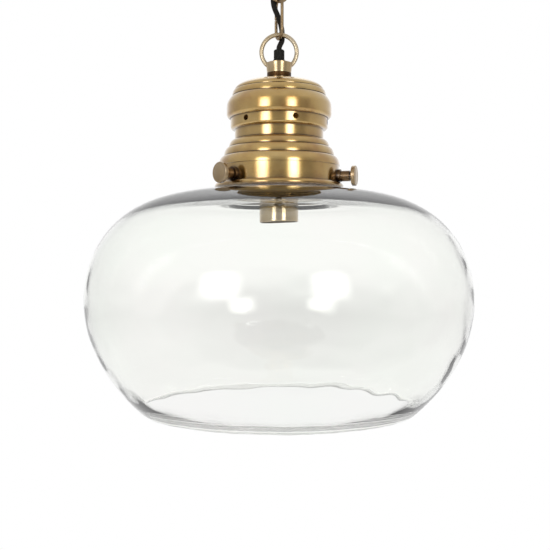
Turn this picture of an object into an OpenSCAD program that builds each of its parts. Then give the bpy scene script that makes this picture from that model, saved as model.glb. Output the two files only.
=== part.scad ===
// Chain-hung pendant light: antique brass gallery with a clear blown glass shade.
// Origin on the ceiling, at the middle of the ceiling plate. Z points up, the light hangs below.

/* [Ceiling end] */
// Diameter of the spun ceiling canopy
canopy_d = 104; // [96:1:130]
// Height of the canopy below the ceiling
canopy_h = 30; // [28:1:40]
// Diameter of the flat crown of the canopy
canopy_crown_d = 56; // [52:1:64]
// Diameter of the steel ceiling plate
plate_d = 84; // [80:1:88]
// Thickness of the ceiling plate
plate_t = 1.5; // [1.2:0.1:2.5]
// Distance between the two fixing holes of the ceiling plate
fixing_pitch = 66; // [60:1:70]
// Diameter of the fixing holes
fixing_hole_d = 4.6; // [4:0.1:5.5]
// Diameter of the hole that the mains cable comes through
mains_hole_d = 14; // [12:0.5:15]
// Wire diameter of the ceiling hook
hook_wire = 4; // [3.6:0.1:4.6]
// Inside diameter of the hook's bowl
hook_bowl_d = 15; // [14:0.5:18]
// Bare shank of the hook between its bowl and the canopy nut
hook_neck_h = 8.8; // [6:0.2:12]
// Distance of the flex entry from the axis of the canopy
entry_offset = 17; // [16.5:0.5:19]

/* [Chain and ring] */
// Wire diameter of a chain link
link_wire = 3.1; // [2.8:0.1:3.2]
// Inside length of a chain link
link_inner_l = 37.45; // [36:0.05:40]
// Outside width of a chain link
link_w = 20.5; // [20:0.5:24]
// Opening at the butt joint of a link
link_split = 0.7; // [0.4:0.1:1.2]
// Turn of the lowest link, seen from above
link_turn = 20; // [10:1:30]
// Outside diameter of the suspension ring
ring_d = 39.5; // [38:0.5:42]
// Wire diameter of the suspension ring
ring_wire = 4.3; // [4:0.1:4.5]

/* [Flex] */
// Diameter of the flex
flex_d = 5.3; // [5:0.1:5.4]
// Diameter of an insulated core of the flex
core_d = 2.2; // [1.8:0.1:2.3]
// Diameter of the body of a cord grip
grip_d = 10.7; // [10:0.1:12]
// Height of the body of a cord grip
grip_h = 11.7; // [10:0.1:13]

/* [Loop collar] */
// Diameter of the collar at its shoulder
collar_d = 26.2; // [25.5:0.1:28]
// Diameter of the collar at its foot
collar_foot_d = 24.2; // [23.5:0.1:25]
// Height of the collar from its foot to its shoulder
collar_h = 10; // [9.5:0.5:13]
// Height of the cone above the collar's shoulder
collar_cone_h = 1.8; // [1:0.1:2.5]
// Depth of the ring's pivot below the collar's shoulder
pivot_depth = 3.3; // [3:0.1:3.8]
// Distance from the ring's centre down to its pivot
ring_drop = 14.4; // [14:0.1:15.5]
// Thickness of the seat washer below the collar
seat_t = 2.2; // [1.5:0.1:3]

/* [Domed cap] */
// Thickness of the spun brass sheet
sheet = 1; // [0.8:0.1:1.2]
// Diameter of the flat boss under the seat washer
boss_d = 26.8; // [26:0.2:30]
// Diameter of the crown
crown_d = 90; // [84:1:92]
// Height of the crown
crown_h = 14.7; // [12:0.1:18]
// Diameter of the small step below the crown
step_d = 96.4; // [94:0.2:100]
// Height of the small step
step_h = 6.2; // [5:0.1:8]
// Diameter of the rim of the cap
cap_d = 104.8; // [102:0.2:110]
// Height of the rounded shoulder above the rim
shoulder_h = 7.2; // [6:0.1:9]
// Height of the upright rim
rim_h = 10.1; // [8:0.1:12]
// Height of the rolled lower edge of the rim
roll_h = 4.7; // [4:0.1:5.5]

/* [Gallery body] */
// Diameter of the vented band
band_d = 97; // [95:0.2:98]
// Height of the vented band inside and below the cap
band_h = 16.2; // [15:0.1:19]
// Diameter of a vent hole
vent_d = 5; // [4:0.1:6]
// Number of vent holes
vent_count = 6; // [4:1:12]
// Direction of the first vent hole
vent_turn = -71; // [-90:1:0]
// Diameter of the neck
neck_d = 88.6; // [86:0.2:91]
// Height of the neck
neck_h = 9.8; // [8:0.1:13]
// Diameter at the foot of the first flare
flare_1_d = 100.6; // [97:0.2:104]
// Height of the first flare
flare_1_h = 7.9; // [6:0.1:9]
// Diameter at the foot of the second flare
flare_2_d = 110.2; // [108:0.2:112]
// Height of the second flare
flare_2_h = 8.9; // [7:0.1:10]
// How far the foot of the third flare stands out from the gallery wall
flare_3_lip = 0.5; // [0.2:0.1:1.2]
// Height of the third flare
flare_3_h = 9.6; // [8:0.1:11]
// Diameter of the straight gallery wall
gallery_d = 120; // [114:0.2:126]
// Height of the straight gallery wall
gallery_h = 16.4; // [15:0.1:19]
// How far the rolled bead stands out from the foot of the gallery wall
bead_out = 4.4; // [3:0.1:5.5]
// Height of the rolled bead
bead_h = 7.2; // [6:0.1:8]

/* [Thumbscrews] */
// Diameter of a thumbscrew head
head_d = 19.8; // [17:0.2:22]
// Thickness of a thumbscrew head
head_t = 4; // [3:0.1:5]
// Diameter of the neck behind the head
screw_neck_d = 8; // [7:0.1:9]
// Thread diameter of the thumbscrews
screw_d = 5; // [4:0.1:5.5]
// Thread pitch of the thumbscrews
screw_pitch = 0.8; // [0.5:0.05:1]
// Diameter of the flange of a screw bush
bush_flange_d = 13.4; // [12.5:0.1:15]
// Diameter of the barrel of a screw bush
bush_d = 10.4; // [9.4:0.1:12]
// Length of a screw bush outside the gallery wall
bush_l = 12; // [11:0.1:15]
// Length of the bare neck between the bush and the head
screw_neck_l = 2.2; // [1.6:0.1:5]
// Direction of the first thumbscrew
screw_turn = -16; // [-30:1:0]

/* [Glass shade] */
// Largest diameter of the shade
shade_d = 381.5; // [360:0.5:400]
// Height of the shade above its widest line
shade_upper_h = 107.4; // [95:0.2:125]
// Height of the lower curve if it ran to a point
shade_lower_h = 164.5; // [150:0.5:180]
// Height of the shade below its widest line
shade_below_h = 110.5; // [95:0.5:115]
// Wall thickness at the widest line
glass_t = 3.2; // [2.6:0.1:4]
// Wall thickness at the shoulder beside the neck
glass_shoulder_t = 9; // [7:0.1:12]
// Wall thickness at the polished rim
glass_rim_t = 5.4; // [4:0.1:6]
// Clearance around the lip of the shade's neck inside the gallery
lip_room = 2; // [1.5:0.1:3]
// How far the lip stands out from the waist of the neck
lip_out = 3.5; // [2.5:0.1:4]
// Wall thickness at the waist of the neck
glass_neck_t = 4; // [3:0.1:5]

/* [Lampholder] */
// Outside diameter of the lampholder's brass shell
holder_d = 39; // [38:0.2:44]
// Height of the lampholder's brass shell
holder_h = 55.5; // [52:0.5:64]
// Height of the lampholder's mouth above the widest line of the shade
holder_rise = 77.2; // [70:0.2:82]
// Inside diameter of the screw shell, to the crests of its thread
socket_d = 26.6; // [26.4:0.1:27]
// Length of the screw shell
socket_l = 21; // [19:0.5:23]
// Outside diameter of the hollow stem
stem_d = 10; // [9.6:0.1:10]
// Bore of the hollow stem
stem_bore_d = 7.6; // [7:0.1:8]

/* [Hidden] */

$fn = 64;

brass = [0.69, 0.55, 0.34];
brass_dark = [0.42, 0.33, 0.2];
brass_bright = [0.8, 0.68, 0.42];
steel = [0.66, 0.67, 0.68];
black = [0.1, 0.1, 0.1];
glass_tint = [0.85, 0.9, 0.88, 0.35];

// Running clearance of pins and screws, and the gap at a seat between moving pieces
fit = 0.1;
seat_gap = 0.3;
slack = 0.2;

// Heights from the ceiling down to the ring
crown_z = -canopy_h;
canopy_nut_h = 5;
canopy_nut_d = 16;
shank_d = 6;
bowl_r = hook_bowl_d / 2 + hook_wire / 2;
hook_z = crown_z - canopy_nut_h - hook_neck_h - hook_wire / 2 - bowl_r;
hook_seat_z = hook_z - bowl_r;
link_run = link_inner_l + link_wire;
link_3_z = hook_seat_z + hook_wire / 2 + seat_gap + link_wire / 2;
link_2_z = link_3_z - link_run + link_wire + seat_gap;
link_1_z = link_2_z - link_run + link_wire + seat_gap;
ring_r = (ring_d - ring_wire) / 2;
ring_z = link_1_z - link_run + link_wire / 2 + seat_gap + ring_wire / 2 - ring_r;

// Heights of the collar and the domed cap
pivot_z = ring_z - ring_drop;
collar_z = pivot_z + pivot_depth;
collar_top_z = collar_z + collar_cone_h;
collar_foot_z = collar_z - collar_h;
cap_z = collar_foot_z - seat_t;
crown_top_z = cap_z - 0.6;
crown_foot_z = crown_top_z - crown_h;
step_foot_z = crown_foot_z - step_h;
shoulder_foot_z = step_foot_z - shoulder_h;
rim_foot_z = shoulder_foot_z - rim_h;

// Heights of the gallery body, whose flat top lies level with the foot of the cap's rim
web_z = rim_foot_z;
band_foot_z = web_z - band_h;
neck_foot_z = band_foot_z - neck_h;
flare_1_z = neck_foot_z - flare_1_h;
flare_2_z = flare_1_z - flare_2_h;
flare_3_z = flare_2_z - flare_3_h;
bead_top_z = flare_3_z - gallery_h;
gallery_foot_z = bead_top_z - bead_h;
vent_z = (rim_foot_z - roll_h + band_foot_z) / 2 + 1.5;
screw_z = bead_top_z + 5.4;

// The neck of the shade fits into the gallery
glass_lip_d = gallery_d - 2 * sheet - 2 * lip_room;
glass_waist_d = glass_lip_d - 2 * lip_out;
glass_bore_d = glass_waist_d - 2 * glass_neck_t;

// The shade hangs by its lip on the screw pads, with its shoulder just below the bead
shoulder_z = gallery_foot_z - seat_gap;
waist_z = shoulder_z + 0.8 - shade_upper_h;
rim_z = waist_z - shade_below_h;
pad_d = 4.8;
lip_foot_z = screw_z + pad_d / 2 + seat_gap;
lip_top_z = lip_foot_z + 7;
holder_z = waist_z + holder_rise;
holder_top_z = holder_z + holder_h;

stem_top_z = pivot_z - ring_wire / 2 - 1.6;
stem_foot_z = holder_top_z - 7.5;

// Hand-chosen route of the hanging flex, woven through the links, from the collar to the canopy
flex_route = [
  [0, 0, -187], [0, 0, -185], [0.5, 0.7, -183], [1.7, 2.6, -180], [2.8, 4.4, -177], [3.1, 5.2, -173],
  [3, 5.2, -169], [2.6, 4.6, -165], [1.2, 3, -159], [-0.8, 2.2, -153.5], [-3.2, 2.1, -148],
  [-5, 2.4, -143], [-5.8, 2.8, -138], [-5.7, 2.4, -133], [-4.8, 1, -127], [-3.7, -1, -120],
  [-3, -3, -113], [-2.8, -5, -106], [-2.8, -5.8, -100], [-2.4, -5.6, -95], [-0.6, -4.8, -88],
  [1.6, -4, -81], [3.8, -3.4, -74], [5.6, -3.2, -67], [6.2, -3.6, -62], [5.8, -6.2, -56.5],
  [3.6, -10.6, -51], [1.2, -14.8, -46.5], [0, -16.8, -42.5], [0, -17, -38], [0, -17, -23.5]];

// Points along an upright ellipse, from angle a to angle b
function bow(r, z, rr, rz, a, b, n = 10) =
  [for (i = [0:n]) let (t = a + (b - a) * i / n) [r + rr * cos(t), z + rz * sin(t)]];

// Unit vector to the inner side of the run from p to q
function side(p, q) = let (d = q - p) [d[1], -d[0]] / norm(d);

// The outline p moved inward by t, or by the list t
function inset(p, t) =
  let (m = len(p) - 1)
  [for (i = [0:m])
    let (u = side(p[max(i - 1, 0)], p[max(i, 1)]),
         v = side(p[min(i, m - 1)], p[min(i + 1, m)]),
         w = is_list(t) ? t[i] : t)
    p[i] + (u + v) * w / (1 + u * v)];

function flip(p) = [for (i = [len(p) - 1:-1:0]) p[i]];

function without_first(p) = [for (i = [1:len(p) - 1]) p[i]];

// A revolved wall between an outline and its inset
module spun(outline, t) {
  rotate_extrude() polygon(concat(outline, flip(inset(outline, t))));
}

// A round tube swept along points p, closed at both ends, never running along the vector ref
module swept_tube(p, d, sides, ref = [1, 0, 0]) {
  m = len(p) - 1;
  dirs = [for (i = [0:m]) let (v = p[min(i + 1, m)] - p[max(i - 1, 0)]) v / norm(v)];
  rings = [for (i = [0:m])
    let (u0 = ref - dirs[i] * (ref * dirs[i]), u = u0 / norm(u0), v = cross(dirs[i], u))
    for (k = [0:sides - 1])
      let (a = 360 * k / sides) p[i] + (u * cos(a) + v * sin(a)) * d / 2];
  walls = [for (i = [0:m - 1], k = [0:sides - 1])
    let (a = i * sides + k, b = i * sides + (k + 1) % sides)
    each [[a, a + sides, b], [b, a + sides, b + sides]]];
  start = [for (k = [0:sides - 1]) k];
  end = [for (k = [sides - 1:-1:0]) m * sides + k];
  polyhedron(points = rings, faces = concat([start, end], walls), convexity = 6);
}

module hex_nut(across, h, bore) {
  difference() {
    cylinder(d = across / cos(30), h = h, $fn = 6);
    translate([0, 0, -1]) cylinder(d = bore, h = h + 2);
  }
}

// Ceiling end

module ceiling_plate() {
  color(steel)
  translate([0, 0, -plate_t]) difference() {
    cylinder(d = plate_d, h = plate_t);
    for (x = [-fixing_pitch / 2, fixing_pitch / 2])
      translate([x, 0, -1]) cylinder(d = fixing_hole_d, h = plate_t + 2);
    translate([0, mains_y, -1]) cylinder(d = mains_hole_d, h = plate_t + 2);
  }
}

mains_y = 24;
plate_nut_h = 6;
plate_nut_across = 10;
block_w = 24;
block_y = 12;
block_h = 12;
block_pos = [0, -27, -plate_t - block_h];
pole_pitch = 8;
pole_z = 5;
pole_bore_d = 3.2;
pole_screw_d = 3;
pole_screw_y = 2.6;
grip_bore_d = flex_d + slack;
grip_spigot_d = 8.6;
grip_nut_across = 12;
grip_nut_h = 3.5;

module plate_nut() {
  color(steel)
  translate([0, 0, -plate_t - plate_nut_h]) hex_nut(plate_nut_across, plate_nut_h, shank_d + fit);
}

module ceiling_hook() {
  color(brass)
  rotate([0, 0, link_turn]) {
    translate([0, 0, hook_z]) rotate([90, 0, 0])
      rotate([0, 0, -180]) rotate_extrude(angle = 270)
        translate([bowl_r, 0]) circle(d = hook_wire);
    translate([0, 0, hook_z + bowl_r]) sphere(d = hook_wire);
    translate([-bowl_r, 0, hook_z]) sphere(d = hook_wire);
    translate([0, 0, hook_z + bowl_r]) cylinder(d = hook_wire, h = hook_wire / 2 + hook_neck_h);
    translate([0, 0, crown_z - canopy_nut_h - 1])
      cylinder(d = shank_d, h = -crown_z + canopy_nut_h + 1 - plate_t);
  }
}

module canopy() {
  wall_h = 5;
  crown_r = canopy_crown_d / 2;
  bell_w = canopy_d / 2 - crown_r;
  bell_h = crown_z + wall_h;
  color(brass)
  difference() {
    rotate_extrude() polygon(concat(
      [[canopy_d / 2, 0]], bow(crown_r, -wall_h, bell_w, bell_h, 0, 90, 14),
      [[0, crown_z], [0, crown_z + sheet]],
      bow(crown_r, -wall_h, bell_w - sheet, bell_h + sheet, 90, 0, 14),
      [[canopy_d / 2 - sheet, 0]]));
    translate([0, 0, crown_z - 1]) cylinder(d = shank_d + 2 * slack, h = sheet + 2);
    translate([0, -entry_offset, crown_z - 1]) cylinder(d = entry_hole_d, h = sheet + 2);
  }
}

entry_hole_d = grip_spigot_d + 2 * slack;

module canopy_nut() {
  color(brass)
  translate([0, 0, crown_z - canopy_nut_h]) difference() {
    cylinder(d = canopy_nut_d, h = canopy_nut_h);
    translate([0, 0, -1]) cylinder(d = shank_d + fit, h = canopy_nut_h + 2);
  }
}

// Black cord grip with its foot on z = 0 and a threaded spigot below
module grip_solid(spigot_h) {
  chamfer = 1;
  flange_r = grip_d / 2 + 0.8;
  difference() {
    rotate_extrude() polygon([
      [0, -spigot_h], [grip_spigot_d / 2, -spigot_h], [grip_spigot_d / 2, 0], [flange_r, 0],
      [flange_r, 1.2], [grip_d / 2, 2], [grip_d / 2, grip_h - chamfer],
      [grip_d / 2 - chamfer, grip_h], [0, grip_h]]);
    translate([0, 0, -spigot_h - 1]) cylinder(d = grip_bore_d, h = grip_h + spigot_h + 2);
  }
}

module canopy_cord_grip() {
  color(black)
  translate([0, -entry_offset, crown_z]) mirror([0, 0, 1])
    grip_solid(sheet + grip_nut_h + 1.5);
}

module canopy_grip_nut() {
  color(black)
  translate([0, -entry_offset, crown_z + sheet])
    hex_nut(grip_nut_across, grip_nut_h, grip_spigot_d + fit);
}

module terminal_block() {
  color([0.92, 0.91, 0.88])
  translate(block_pos) difference() {
    translate([-block_w / 2, -block_y / 2, 0]) cube([block_w, block_y, block_h]);
    for (k = [-1:1]) translate([k * pole_pitch, 0, pole_z]) {
      rotate([90, 0, 0]) cylinder(d = pole_bore_d, h = block_y + 2, center = true);
      translate([0, pole_screw_y, -pole_z - 1])
        cylinder(d = pole_screw_d + slack, h = pole_z + 1);
    }
  }
}

module terminal_screws() {
  color(steel)
  for (k = [-1:1]) translate(block_pos + [k * pole_pitch, pole_screw_y, 0.3])
    cylinder(d = pole_screw_d, h = pole_z - 1.8);
}

// Place of core k (-1, 0 or 1) on the end of the flex, three cores lying in a triangle
function core_place(k) = [1.25 * k, k == 0 ? 1.45 : -0.7, 0];

module canopy_core(k) {
  entry = flex_route[len(flex_route) - 1] + core_place(k);
  pole = block_pos + [k * pole_pitch, block_y / 2, pole_z];
  swept_tube([entry, entry + [0, 0, 3], entry + [k * 2.4, 3.4, 7.5],
              pole + [-k * 1.5, 4.4, 1.2], pole + [0, 1.6, 0], pole + [0, -3, 0]],
             core_d, 8);
}

module canopy_live_core() { color([0.45, 0.27, 0.14]) canopy_core(-1); }

module canopy_neutral_core() { color([0.16, 0.35, 0.7]) canopy_core(1); }

module canopy_earth_core() { color([0.35, 0.6, 0.2]) canopy_core(0); }

module hanging_flex() {
  color(black) swept_tube(flex_route, flex_d, 10);
}

// Chain and ring

// One oval link of bent wire, its upper wire centre at z = 0, in the plane turned by turn
module chain_link(turn) {
  bend_r = (link_w - link_wire) / 2;
  leg = link_run - 2 * bend_r;
  rotate([0, 0, turn]) rotate([90, 0, 0]) difference() {
    union() {
      translate([0, -bend_r]) rotate_extrude(angle = 180)
        translate([bend_r, 0]) circle(d = link_wire);
      translate([0, -bend_r - leg]) rotate([0, 0, 180]) rotate_extrude(angle = 180)
        translate([bend_r, 0]) circle(d = link_wire);
      for (x = [-bend_r, bend_r]) translate([x, -bend_r, 0])
        rotate([90, 0, 0]) cylinder(d = link_wire, h = leg);
    }
    translate([bend_r, -bend_r - leg / 2, 0])
      cube([2 * link_wire, link_split, 2 * link_wire], center = true);
  }
}

module chain_link_3() {
  color(brass_dark) translate([0, 0, link_3_z]) chain_link(link_turn + 90);
}

module chain_link_2() {
  color(brass_dark) translate([0, 0, link_2_z]) chain_link(link_turn);
}

module chain_link_1() {
  color(brass) translate([0, 0, link_1_z]) chain_link(link_turn + 90);
}

pin_x = sqrt(ring_r * ring_r - ring_drop * ring_drop);
pin_end_x = 5.8;
elbow_swell = 0.2;

// Split ring whose turned-in ends are the pivots in the collar
module suspension_ring() {
  reach = acos(-ring_drop / ring_r);
  color(brass)
  translate([0, 0, ring_z]) rotate([90, 0, 0]) {
    rotate([0, 0, 90 - reach]) rotate_extrude(angle = 2 * reach)
      translate([ring_r, 0]) circle(d = ring_wire);
    for (s = [-1, 1]) translate([s * pin_x, -ring_drop, 0]) {
      sphere(d = ring_wire + elbow_swell);
      rotate([0, -90 * s, 0]) cylinder(d = ring_wire, h = pin_x - pin_end_x);
    }
  }
}

// Collar

swing_room = 24;
slot_x = 8.6;

module loop_collar() {
  pin_hole_d = ring_wire + 2 * fit;
  slot_h = collar_top_z - pivot_z + 1;
  slot_w = pin_hole_d / 2 + slot_h * tan(swing_room);
  color(brass)
  difference() {
    rotate_extrude() polygon([
      [0, collar_foot_z], [collar_foot_d / 2, collar_foot_z],
      [collar_foot_d / 2 + 0.1, collar_foot_z + 1.5],
      [collar_d / 2 - 0.15, collar_z - 3], [collar_d / 2, collar_z],
      [collar_d / 2 - 5.6, collar_top_z], [0, collar_top_z]]);
    translate([0, 0, collar_foot_z - 1])
      cylinder(d = stem_d + fit, h = stem_top_z - collar_foot_z + 1.2);
    translate([0, 0, collar_foot_z - 1])
      cylinder(d = grip_spigot_d + slack, h = collar_h + collar_cone_h + 2);
    for (s = [-1, 1]) {
      translate([s * (pin_end_x - seat_gap), 0, pivot_z]) rotate([0, 90 * s, 0])
        cylinder(d = pin_hole_d, h = collar_d);
      translate([s > 0 ? slot_x : -slot_x - collar_d, 0, pivot_z])
        rotate([90, 0, 90]) linear_extrude(collar_d) polygon([
          [-pin_hole_d / 2, 0], [pin_hole_d / 2, 0], [slot_w, slot_h], [-slot_w, slot_h]]);
      translate([s * (slot_x + collar_d / 2), 0, pivot_z]) rotate([0, 90, 0])
        cylinder(d = pin_hole_d + 0.8, h = collar_d, center = true);
    }
  }
}

module cord_grip() {
  color(black) translate([0, 0, collar_top_z]) grip_solid(collar_top_z - stem_top_z - 0.5);
}

module seat_washer() {
  color(brass_dark)
  translate([0, 0, cap_z]) difference() {
    cylinder(d = collar_foot_d - 0.4, h = seat_t);
    translate([0, 0, -1]) cylinder(d = stem_d + 2 * slack, h = seat_t + 2);
  }
}

// Cap, stem and gallery

crown_start = acos(boss_d / crown_d);
roll_r = band_d / 2 + 0.4;

cap_outline = concat(
  [[stem_d / 2 + slack, cap_z], [boss_d / 2, cap_z]],
  bow(0, crown_foot_z, crown_d / 2, crown_h, crown_start, 0, 16),
  without_first(bow(crown_d / 2, step_foot_z, (step_d - crown_d) / 2, step_h, 90, 0, 6)),
  without_first(bow(step_d / 2, shoulder_foot_z, (cap_d - step_d) / 2, shoulder_h, 90, 0, 7)),
  bow(roll_r, rim_foot_z, cap_d / 2 - roll_r, roll_h, 0, -90, 8));

module domed_cap() {
  color(brass) spun(cap_outline, sheet);
}

spacer_wall = 2;

module spacer_tube() {
  color(brass_dark)
  translate([0, 0, web_z]) difference() {
    cylinder(d = stem_d + 2 * spacer_wall, h = cap_z - sheet - web_z);
    translate([0, 0, -1]) cylinder(d = stem_d + 2 * slack, h = cap_z - web_z + 2);
  }
}

module hollow_stem() {
  color(brass_dark)
  translate([0, 0, stem_foot_z]) difference() {
    cylinder(d = stem_d, h = stem_top_z - stem_foot_z);
    translate([0, 0, -1]) cylinder(d = stem_bore_d, h = stem_top_z - stem_foot_z + 2);
  }
}

// The part of the flex inside the cord grip and the stem
module stem_flex() {
  color(black)
  translate([0, 0, stem_flex_foot_z])
    cylinder(d = flex_d, h = flex_route[0][2] - stem_flex_foot_z);
}

web_corner = 1.5;

body_outline = concat(
  [[stem_d / 2 + slack, web_z]],
  bow(band_d / 2 - web_corner, web_z - web_corner, web_corner, web_corner, 90, 0, 4),
  bow(neck_d / 2, band_foot_z + 3.1, (band_d - neck_d) / 2, 3.1, 0, -90, 5),
  bow(neck_d / 2, flare_1_z, (flare_1_d - neck_d) / 2, flare_1_h, 90, 0, 7),
  without_first(bow(flare_1_d / 2, flare_2_z, (flare_2_d - flare_1_d) / 2, flare_2_h, 90, 0, 7)),
  without_first(bow(flare_2_d / 2, flare_3_z, gallery_d / 2 + flare_3_lip - flare_2_d / 2,
                    flare_3_h, 90, 0, 8)),
  [[gallery_d / 2, flare_3_z - 0.3], [gallery_d / 2, bead_top_z]]);

bead_outline = without_first(
  bow(gallery_d / 2, gallery_foot_z + bead_h / 2, bead_out, bead_h / 2, 90, -90, 12));

vent_drill_l = 20;
vent_drill_in = 6;

module gallery_body() {
  color(brass)
  difference() {
    rotate_extrude() polygon(concat(
      body_outline, bead_outline, [[gallery_d / 2 - sheet, gallery_foot_z]],
      flip(inset(body_outline, sheet))));
    for (k = [0:vent_count - 1])
      rotate([0, 0, vent_turn + k * 360 / vent_count])
        translate([neck_d / 2 - vent_drill_in, 0, vent_z])
          rotate([0, 90, 0]) cylinder(d = vent_d, h = vent_drill_l);
    for (k = [0:2]) rotate([0, 0, screw_turn + k * 120])
      translate([gallery_d / 2 - sheet - 2, 0, screw_z])
        rotate([0, 90, 0]) cylinder(d = screw_d + 2 * slack, h = sheet + 4);
  }
}

gallery_washer_t = 1.6;
gallery_washer_d = 24;
gallery_nut_h = 6;
gallery_nut_across = 15;

module gallery_washer() {
  color(steel)
  translate([0, 0, web_z - sheet - gallery_washer_t]) difference() {
    cylinder(d = gallery_washer_d, h = gallery_washer_t);
    translate([0, 0, -1]) cylinder(d = stem_d + 2 * slack, h = gallery_washer_t + 2);
  }
}

module gallery_nut() {
  color(steel)
  translate([0, 0, web_z - sheet - gallery_washer_t - gallery_nut_h])
    hex_nut(gallery_nut_across, gallery_nut_h, stem_d + fit);
}

// Thumbscrews, drawn along +X from the axis and turned into place

wall_x = gallery_d / 2;
pad_tip_x = glass_waist_d / 2 + 0.2;
pad_l = 3.2;
pad_cap_t = 1.2;
dog_d = 3;
bush_end_x = wall_x + bush_l;
head_x = bush_end_x + screw_neck_l;

module around(k) {
  rotate([0, 0, screw_turn + 120 * k]) translate([0, 0, screw_z]) rotate([0, 90, 0]) children();
}

// Threaded bushes brazed to the wall, each with its flange cut flat above the bead
module screw_bushes() {
  flange_t = 3;
  overlap = 3;
  color(brass_dark)
  difference() {
    for (k = [0:2]) around(k) translate([0, 0, wall_x - overlap]) {
      cylinder(d = bush_flange_d, h = flange_t + overlap);
      cylinder(d = bush_d, h = bush_l + overlap);
    }
    rotate_extrude() polygon([
      [0, gallery_foot_z], [wall_x + bead_out + fit, gallery_foot_z],
      [wall_x + bead_out + fit, bead_top_z + fit], [wall_x + fit / 2, bead_top_z + fit],
      [wall_x + fit / 2, flare_3_z], [0, flare_3_z]]);
    for (k = [0:2]) around(k)
      translate([0, 0, wall_x - overlap - 1]) cylinder(d = screw_d + fit, h = bush_l + overlap + 2);
  }
}

module thumbscrew(k) {
  edge = 0.5;
  shank_x = pad_tip_x + pad_cap_t;
  color(brass)
  around(k) {
    translate([0, 0, shank_x]) cylinder(d = dog_d, h = pad_l);
    translate([0, 0, shank_x + pad_l - pad_cap_t + 0.1])
      cylinder(d = screw_d, h = bush_end_x - shank_x - pad_l + pad_cap_t);
    translate([0, 0, bush_end_x + 0.1]) cylinder(d = screw_neck_d, h = screw_neck_l);
    translate([0, 0, head_x]) rotate_extrude() polygon([
      [0, 0], [head_d / 2 - edge, 0], [head_d / 2, edge], [head_d / 2, head_t - edge],
      [head_d / 2 - edge, head_t], [0, head_t]]);
  }
}

module thumbscrew_1() { thumbscrew(0); }

module thumbscrew_2() { thumbscrew(1); }

module thumbscrew_3() { thumbscrew(2); }

// Soft cap on the end of a thumbscrew, bearing on the glass
module screw_pad(k) {
  color([0.2, 0.19, 0.18])
  around(k) translate([0, 0, pad_tip_x]) difference() {
    cylinder(d = pad_d, h = pad_l);
    translate([0, 0, pad_cap_t]) cylinder(d = dog_d + fit, h = pad_l);
  }
}

module screw_pad_1() { screw_pad(0); }

module screw_pad_2() { screw_pad(1); }

module screw_pad_3() { screw_pad(2); }

// Glass shade

// Exponents of the curves above and below the widest line, and of the thickening at the shoulder
upper_p = 1.93;
upper_q = 3.78;
lower_p = 2;
lower_q = 1.75;
shoulder_p = 12;

// Radius of the shade at height z
function shade_r(z) =
  let (t = z - waist_z, upper = t > 0,
       u = abs(t) / (upper ? shade_upper_h : shade_lower_h))
  shade_d / 2 * pow(1 - pow(u, upper ? upper_p : lower_p), 1 / (upper ? upper_q : lower_q));

// Wall thickness of the shade at height z
function shade_t(z) =
  let (t = z - waist_z)
  t > 0 ? glass_t + (glass_shoulder_t - glass_t) * pow(t / shade_upper_h, shoulder_p)
        : glass_t + (glass_rim_t - glass_t) * exp((rim_z + 3 - z) / 7);

upper_steps = 20;
lower_steps = 18;
neck_round = 5.4;

// Outer curve from the shoulder down to the rim, steps crowded toward the shoulder
upper_top = asin((shoulder_z - waist_z) / shade_upper_h);
upper_zs = [for (i = [0:upper_steps])
  waist_z + shade_upper_h * sin(upper_top * (1 - i / upper_steps))];
lower_zs = [for (i = [1:lower_steps])
  waist_z - (shade_below_h - 1) * i / lower_steps];
shade_zs = concat(upper_zs, lower_zs);
shade_outer = [for (z = shade_zs) [shade_r(z), z]];
shade_inner = inset(shade_outer, [for (z = shade_zs) shade_t(z)]);

neck_outer = concat(
  [[glass_bore_d / 2 + 1.5, lip_top_z]],
  bow(glass_lip_d / 2 - 2, lip_top_z - 2, 2, 2, 90, 0, 4),
  [[glass_lip_d / 2, lip_foot_z + 2.5], [glass_waist_d / 2, lip_foot_z]],
  bow(glass_waist_d / 2 + neck_round, shoulder_z + neck_round, neck_round, neck_round,
      180, 270, 6));

// Half-round rim between the last outer and inner points
rim_out = shade_outer[len(shade_outer) - 1];
rim_in = shade_inner[len(shade_inner) - 1];
rim_mid = (rim_out + rim_in) / 2;
rim_dir = (rim_out - rim_in) / norm(rim_out - rim_in);
rim_half = norm(rim_out - rim_in) / 2;
rim_end = [for (i = [1:5]) let (a = -30 * i)
  rim_mid + rim_half * [rim_dir[0] * cos(a) - rim_dir[1] * sin(a),
                        rim_dir[0] * sin(a) + rim_dir[1] * cos(a)]];

bore_round = 5;
inner_top_z = shade_inner[0][1];

module glass_shade() {
  color(glass_tint)
  rotate_extrude() polygon(concat(
    neck_outer, shade_outer, rim_end, flip(shade_inner),
    bow(glass_bore_d / 2 + bore_round, inner_top_z + bore_round, bore_round, bore_round,
        270, 180, 5),
    [[glass_bore_d / 2, lip_top_z - 1.5]]), convexity = 6);
}

// Lampholder

holder_wall = 1;
holder_in = holder_d / 2 - holder_wall;
insert_r = holder_in - slack;
socket_r = socket_d / 2;
socket_wall = 0.6;
socket_foot_z = holder_z + 5;
socket_top_z = socket_foot_z + socket_l;
insert_body_l = 18;
insert_top_z = socket_top_z + insert_body_l;
bridge_t = 1.2;
bridge_z = holder_top_z - holder_wall - bridge_t;
bridge_w = 10;
bridge_eye = 10;
bridge_arm = 4;
bridge_reach = 12;
bridge_screw_y = 8.4;
bridge_screw_d = 3;
bridge_screw_l = 7;
holder_nut_across = 14;
locknut_h = 4;
inner_nut_h = 3;
contact_room = 4;
contact_hole_r = 9.5;
contact_t = 0.8;
terminal_x = 11;
terminal_w = 6.4;
terminal_l = 7.4;
terminal_sink = 6;
terminal_rise = 3.6;

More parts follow.
